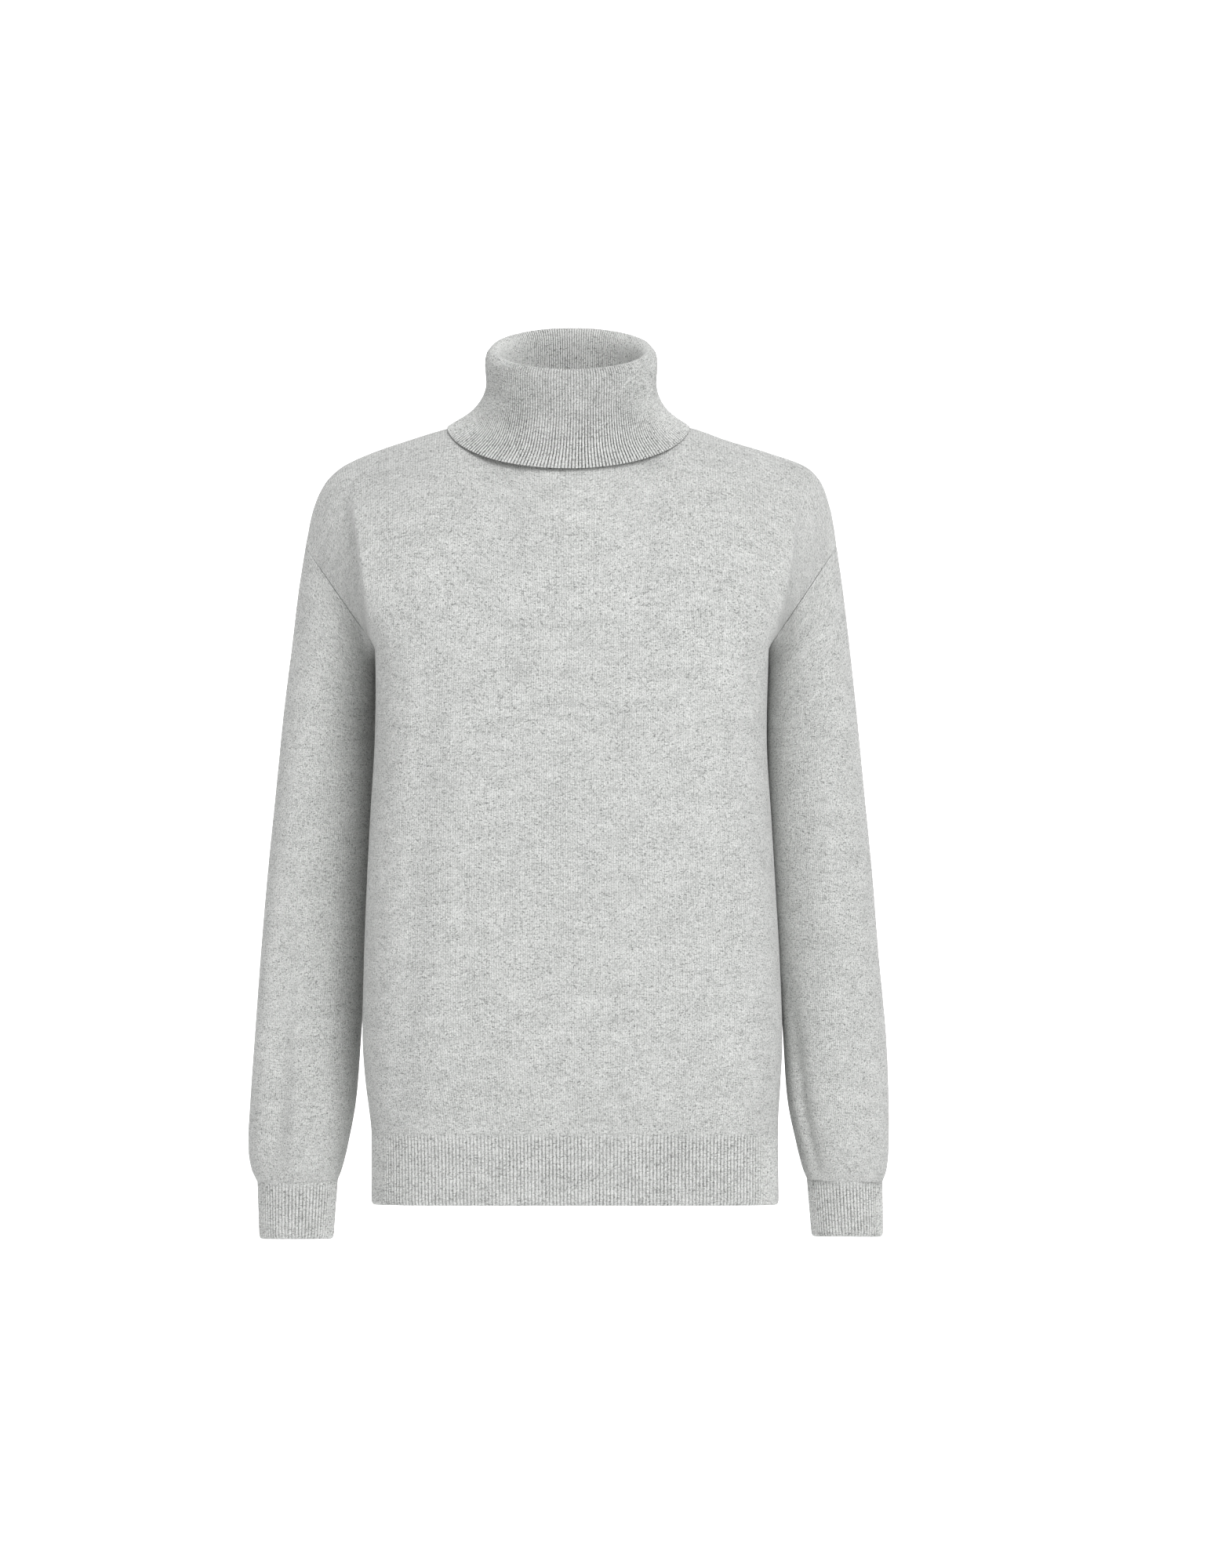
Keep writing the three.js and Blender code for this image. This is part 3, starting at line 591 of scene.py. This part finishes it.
def sleeve(side, sections, troughs):
    """Outer points of a sleeve, in rings from the armhole to the cuff, with its wales and courses."""
    hand = "right" if side < 0 else "left"
    front_edge, back_edge = front_edges[hand], back_edges[hand]
    near, far = (front_edge, back_edge) if side < 0 else (back_edge, front_edge)
    armhole = np.concatenate([near, far[-2:0:-1]])
    count = len(armhole)
    turns = (np.arange(count) if side < 0 else count - np.arange(count)) / count
    rings = np.concatenate([armhole[None], arm_rings(sections, turns, ARM_ROUNDNESS[hand])])
    steps = np.linalg.norm(np.diff(rings, axis=0), axis=2).mean(1)
    down = np.concatenate([[0], np.cumsum(steps)])
    at = with_edges(np.linspace(0, down[-1], 161), down[-1])
    points = curve_through(down, rings, at)
    row = np.interp(at, down[1:], np.arange(len(down) - 1))[:, None]
    middle = (sections["inner_x"].sum() + sections["outer_x"].sum()) / (2 * len(sections["inner_x"]))
    centre_y = np.interp(at, down[1:], sections["centre_y"])[:, None]
    inward = np.stack([middle - points[..., 0], centre_y - points[..., 1]], -1)
    inward /= np.linalg.norm(inward, axis=-1, keepdims=True)
    for top_turn, top_row, bottom_turn, bottom_row, half_width, depth in zip(*(troughs[c] for c in TROUGH_COLUMNS)):
        share = (row - top_row) / (bottom_row - top_row)
        turn = mix(top_turn, bottom_turn, share)
        ends = np.where((share > 0) & (share < 1), np.sin(np.clip(share, 0, 1) * math.pi), 0)
        press = depth * ends * bell(turns[None] - turn, half_width)
        points[..., :2] += inward * press[..., None]
    girth = 290
    wales = np.broadcast_to(np.arange(count) / count * girth, points.shape[:2])
    courses = np.broadcast_to(at[:, None], points.shape[:2])
    return points, wales, courses


for hand, side, sections, troughs in (
    ("right", -1, RIGHT_SLEEVE, RIGHT_TROUGHS),
    ("left", 1, LEFT_SLEEVE, LEFT_TROUGHS),
):
    points, wales, courses = sleeve(side, sections, troughs)
    piece = jersey(hand + "_sleeve_tube", points, wales, courses, True, ends=(True, False))
    dress(piece, jersey_wool, hand + "_sleeve")


# HEM RIB
# A 1x1 rib knitted on in one with each panel, front and back, and drawn in under it.
HEM_RIBS = 168
RIB_HEIGHT = 1.1
RIB_BASE_THICKNESS = 1.8
HEM_RIB_PITCH = 2.74
KNITTED_ON_GAP = 0.02
POINTS_PER_RIB = 6
# Under the join the rib takes the jersey's tone, and the painted shade of its grooves fades in from there.
RIB = JERSEY | {"light": "#f6f7f5", "charcoal": "#474947", "wale": 1.37, "bump": 0.3, "rib": HEM_RIB_PITCH}
RIB |= {"shade": [(0, 0.65), (4, 0.73)], "groove": [(0, 0.15), (4, 0.74)]}


# The free edge curls in a little. Where a rib is knitted on, its ridges rise gently from the jersey.
EDGE_CURL = {"reach": 5, "depth": 2.6}
RIB_RISE = 4


def rib_dip(columns):
    """How deep each column of points lies under the crown of its rib: broad crowns, narrow dips."""
    phase = (np.arange(columns) / POINTS_PER_RIB) % 1
    away = np.minimum(phase, 1 - phase)
    return RIB_HEIGHT * bell(away, 0.2)


def ribbed(name, plain, wales, courses, closed, thickness, curl, rise):
    """A ribbed wall over its plain surface. Courses count from the joined edge to the free one."""
    normals = outward(plain, closed)
    from_edge = np.abs(courses[:, 0] - courses[:, 0].max())[:, None, None]
    risen = smoothstep(courses[:, 0], 0, rise)[:, None, None] if rise else 1
    dip = rib_dip(plain.shape[1])[None, :, None] * risen
    radius = thickness[:, None, None] / 2
    t = np.clip(1 - from_edge / radius, 0, 1)
    turn = radius * (1 - np.sqrt(1 - t * t))
    bent = np.clip(1 - from_edge / EDGE_CURL["reach"], 0, 1)
    plain = plain - normals * curl * (1 - np.sqrt(1 - 0.999 * bent * bent))
    outer = plain - normals * (dip * (1 - 0.6 * t) + turn)
    inner = plain - normals * (2 * radius - turn * 0.98)
    return wall_mesh(name, outer, inner, wales, courses, closed)


def edge_steps(length, rows):
    """Distances from the joined edge to the free edge, closer together where it turns."""
    return np.concatenate([np.linspace(0, length - 5.6, rows), length - np.array([4.6, 3.6, 2.7, 2, 1.45, 0.9, 0.5, 0.22, 0.06, 0])])


def hem_rows(side, folds):
    columns = HEM_RIBS * POINTS_PER_RIB + 1
    shares = np.linspace(0, 1, columns)
    down = edge_steps(HEM_TOP_Z - HEM_BOTTOM_Z, 14)
    heights = HEM_TOP_Z - KNITTED_ON_GAP - down
    rows = np.stack([body_line(z, side, shares) for z in heights])
    rows[:, [0, -1], 1] += side * SEAM_GAP / 2
    rows[..., 1] -= side * in_folds(rows[..., 0], rows[..., 2], folds)
    wales = np.broadcast_to(np.arange(columns) / POINTS_PER_RIB * HEM_RIB_PITCH, rows.shape[:2])
    courses = np.broadcast_to(down[:, None], rows.shape[:2])
    return (rows[:, ::-1] if side < 0 else rows), wales, courses


rib_wool = knit_material("melange_wool_one_by_one_rib", RIB)
for side, name, folds in ((-1, "front", FRONT_FOLDS), (1, "back", BACK_FOLDS)):
    rows, wales, courses = hem_rows(side, folds)
    thickness = np.full(len(rows), RIB_HEIGHT + RIB_BASE_THICKNESS)
    piece = ribbed(name + "_hem_band", rows, wales, courses, False, thickness, EDGE_CURL["depth"], RIB_RISE)
    dress(piece, rib_wool, name + "_hem_rib")


# CUFFS
# A 1x1 rib tube knitted on at the end of each sleeve and drawn in to the wrist.
CUFF_COLUMNS = ["outer_x", "outer_z", "inner_x", "inner_z", "centre_y", "half_depth", "lift"]
RIGHT_CUFF = table(
    CUFF_COLUMNS,
    [[-256.5, -616.03, -190.7, -614.03, 6, 29.4, 0], [-254.8, -663, -194.2, -663, 4, 27.5, 2]],
)
LEFT_CUFF = table(
    CUFF_COLUMNS,
    [[254.3, -615.03, 192.3, -613.03, 6, 29.4, 0], [254.8, -661, 196.2, -661, 4, 27.5, 2]],
)
CUFF_RIBS = 68
CUFF_LENGTH = 48
for hand, side, ends in (("right", -1, RIGHT_CUFF), ("left", 1, LEFT_CUFF)):
    columns = CUFF_RIBS * POINTS_PER_RIB
    turns = np.arange(columns) / columns
    down = edge_steps(CUFF_LENGTH, 12)
    sections = {name: mix(value[0], value[1], down / CUFF_LENGTH) for name, value in ends.items()}
    rows = arm_rings(sections, turns if side < 0 else 1 - turns)
    wales = np.broadcast_to(turns * CUFF_RIBS * HEM_RIB_PITCH, rows.shape[:2])
    courses = np.broadcast_to(down[:, None], rows.shape[:2])
    thickness = np.full(len(rows), RIB_HEIGHT + RIB_BASE_THICKNESS)
    piece = ribbed(hand + "_cuff_band", rows, wales, courses, True, thickness, EDGE_CURL["depth"], RIB_RISE)
    dress(piece, rib_wool, hand + "_cuff")


# ROLL COLLAR
# One 1x1 rib tube, linked to the neckline and folded over once. It stands round the neck, rolls
# softly at the top and flares down over the shoulders to its free edge.
COLLAR = table(
    ["front_z", "side_z", "back_z", "half_width", "centre_x", "centre_y", "front", "back", "laid_in"],
    [
        [-19, 8, 13, 58, 0, 8, 56, 56, 0],
        [14, 36, 50, 56.6, 0, 3, 58, 60, 0],
        [36, 57, 79, 57.4, 0, -3, 61, 62, 0],
        [43.5, 65, 87, 63.6, 0, -4, 68, 68, 0],
        [36, 57.5, 79.5, 70, 0, -4, 75, 74, 0],
        [6, 32, 48, 70, 0, -2, 74, 74, 0.8],
        [-20, 16, 23, 79.6, -1, 2, 76, 79, 3],
        [-36.8, 3.6, 3, 99.2, -2.3, 2, 84, 86, 6.1],
    ],
)
# At the front and the back the flare is laid in against the chest and the nape.
LAID_IN = {"from": 0.15, "to": 0.75, "at_back": 1.5}
# The free edge thins out where it lies on the shoulder.
COLLAR_EDGE = {"thickness": 1.0, "reach": 26}
COLLAR_RIBS = 198
COLLAR_CORNER_SOFTNESS = 0.15


def collar_rings(turns):
    """The rings of the collar's table, clockwise from the middle of the back, seen from above."""
    ahead = -np.cos(turns * 2 * math.pi)[None]
    aside = np.sin(turns * 2 * math.pi)[None]
    s = {name: value[:, None] for name, value in COLLAR.items()}
    softly = lambda c: (c + np.hypot(c, COLLAR_CORNER_SOFTNESS)) / 2
    x = s["centre_x"] + s["half_width"] * aside
    y = s["centre_y"] - np.where(ahead > 0, s["front"], s["back"]) * ahead
    laid = smoothstep(np.abs(ahead), LAID_IN["from"], LAID_IN["to"]) * s["laid_in"]
    y = y + np.where(ahead > 0, laid, -LAID_IN["at_back"] * laid)
    z = s["side_z"] + (s["front_z"] - s["side_z"]) * softly(ahead) + (s["back_z"] - s["side_z"]) * softly(-ahead)
    return np.stack([x, y, z], -1)


def collar_rows():
    columns = COLLAR_RIBS * POINTS_PER_RIB
    rings = collar_rings(np.linspace(0, 1, 721))
    even = np.linspace(0, 1, columns + 1)[:-1]
    rings = np.stack([spaced(ring, even) for ring in rings])
    steps = np.linalg.norm(np.diff(rings, axis=0), axis=2).mean(1)
    up = np.concatenate([[0], np.cumsum(steps)])
    at = edge_steps(up[-1], 30)
    rows = curve_through(up, rings, at)
    wales = np.broadcast_to(np.arange(columns) / POINTS_PER_RIB * HEM_RIB_PITCH, rows.shape[:2])
    return rows, wales, np.broadcast_to(at[:, None], rows.shape[:2])


rows, wales, courses = collar_rows()
from_edge = courses[-1, 0] - courses[:, 0]
thinned = smoothstep(from_edge, 0, COLLAR_EDGE["reach"])
thickness = mix(COLLAR_EDGE["thickness"], RIB_HEIGHT + RIB_BASE_THICKNESS, thinned)
collar = ribbed("roll_collar", rows, wales, courses, True, thickness, 0, 0)
# Inside, the rib is painted paler, palest near the top of the roll: painted light where the inside of the tube and
# the roll's top would be lit. Outside it is darker, partly its own tone and partly painted shade in the hollow
# below the roll, and paler again towards the free edge, where the painted shade in its grooves is strongest, so the
# ribs there look crisp.
COLLAR_RIB = RIB | {
    "shade": [(28, 0.88), (54, 0.96), (64, 0.88), (76, 0.6), (104, 0.6), (130, 0.76)],
    "groove": [(68, 0.9), (78, 0.6), (98, 0.6), (132, 1.7)],
}
collar_wool = knit_material("melange_wool_collar_rib_painted_light_and_shade", COLLAR_RIB)
dress(collar, collar_wool, "collar")


# FLOOR, LIGHT AND VIEW
# A pale studio floor that curves up behind, a broad soft light from the front right, a second one
# above the front, and the even light of a white room.
paper = bpy.data.materials.new("matt_white_paper")
paper.use_nodes = True
paper_skin = paper.node_tree.nodes["Principled BSDF"]
paper_skin.inputs["Base Color"].default_value = linear("#ffffff")
paper_skin.inputs["Roughness"].default_value = 1.0
backdrop = paper.copy()
backdrop.name = "lit_white_backdrop"
backdrop_skin = backdrop.node_tree.nodes["Principled BSDF"]
backdrop_skin.inputs["Emission Color"].default_value = linear("#ffffff")
backdrop_skin.inputs["Emission Strength"].default_value = 0.85
SWEEP = {"floor_z": -1.25, "near_y": -4.0, "bend_y": 2.2, "bend_radius": 1.2, "top_z": 4.0, "half_width": 6.0}
profile = [(SWEEP["near_y"], SWEEP["floor_z"])]
for k in range(17):
    angle = k / 16 * math.pi / 2
    r = SWEEP["bend_radius"]
    profile.append((SWEEP["bend_y"] + r * math.sin(angle), SWEEP["floor_z"] + r * (1 - math.cos(angle))))
profile.append((SWEEP["bend_y"] + SWEEP["bend_radius"], SWEEP["top_z"]))
sweep_points = [(x * SWEEP["half_width"], y, z) for x in (-1, 1) for y, z in profile]
n = len(profile)
sweep_mesh = bpy.data.meshes.new("studio_sweep")
sweep_mesh.from_pydata(sweep_points, [], [(k, k + n, k + n + 1, k + 1) for k in range(n - 1)])
sweep_mesh.materials.append(paper)
sweep_mesh.materials.append(backdrop)
sweep_mesh.polygons.foreach_set("material_index", [int(k > 0) for k in range(n - 1)])
sweep_mesh.shade_smooth()
sweep = bpy.data.objects.new("studio_sweep", sweep_mesh)
bpy.context.scene.collection.objects.link(sweep)

world = bpy.data.worlds.new("studio_room")
world.use_nodes = True
world.node_tree.nodes["Background"].inputs[0].default_value = (1, 1, 1, 1)
world.node_tree.nodes["Background"].inputs[1].default_value = 0.47
bpy.context.scene.world = world

for name, place, aim, size, watts in (
    ("key_softbox", (1.6, -3.6, 1.3), (0, 0, -0.3), 2.0, 43),
    ("high_softbox", (0.35, -2.4, 2.2), (0, 0, -0.25), 1.6, 33),
):
    lamp = bpy.data.lights.new(name, "AREA")
    lamp.shape = "SQUARE"
    lamp.size = size
    lamp.energy = watts
    box = bpy.data.objects.new(name, lamp)
    box.location = place
    direction = np.array(aim) - np.array(place)
    yaw = math.atan2(-direction[0], direction[1])
    pitch = math.atan2(direction[2], math.hypot(direction[0], direction[1]))
    box.rotation_euler = (math.pi / 2 + pitch, 0, yaw)
    bpy.context.scene.collection.objects.link(box)

# The photograph's frame is 1.28 m high at the garment, seen square on from 5 m away.
VIEW = {"place": (0.0365, -5.0, -0.291), "frame_height": 1.28, "sensor": 36.0}
lens = bpy.data.cameras.new("studio_camera")
lens.sensor_width = VIEW["sensor"]
lens.lens = VIEW["sensor"] * -VIEW["place"][1] / VIEW["frame_height"]
camera = bpy.data.objects.new("studio_camera", lens)
camera.location = VIEW["place"]
camera.rotation_euler = (math.pi / 2, 0, 0)
bpy.context.scene.collection.objects.link(camera)
bpy.context.scene.camera = camera
bpy.context.scene.view_settings.view_transform = "Standard"
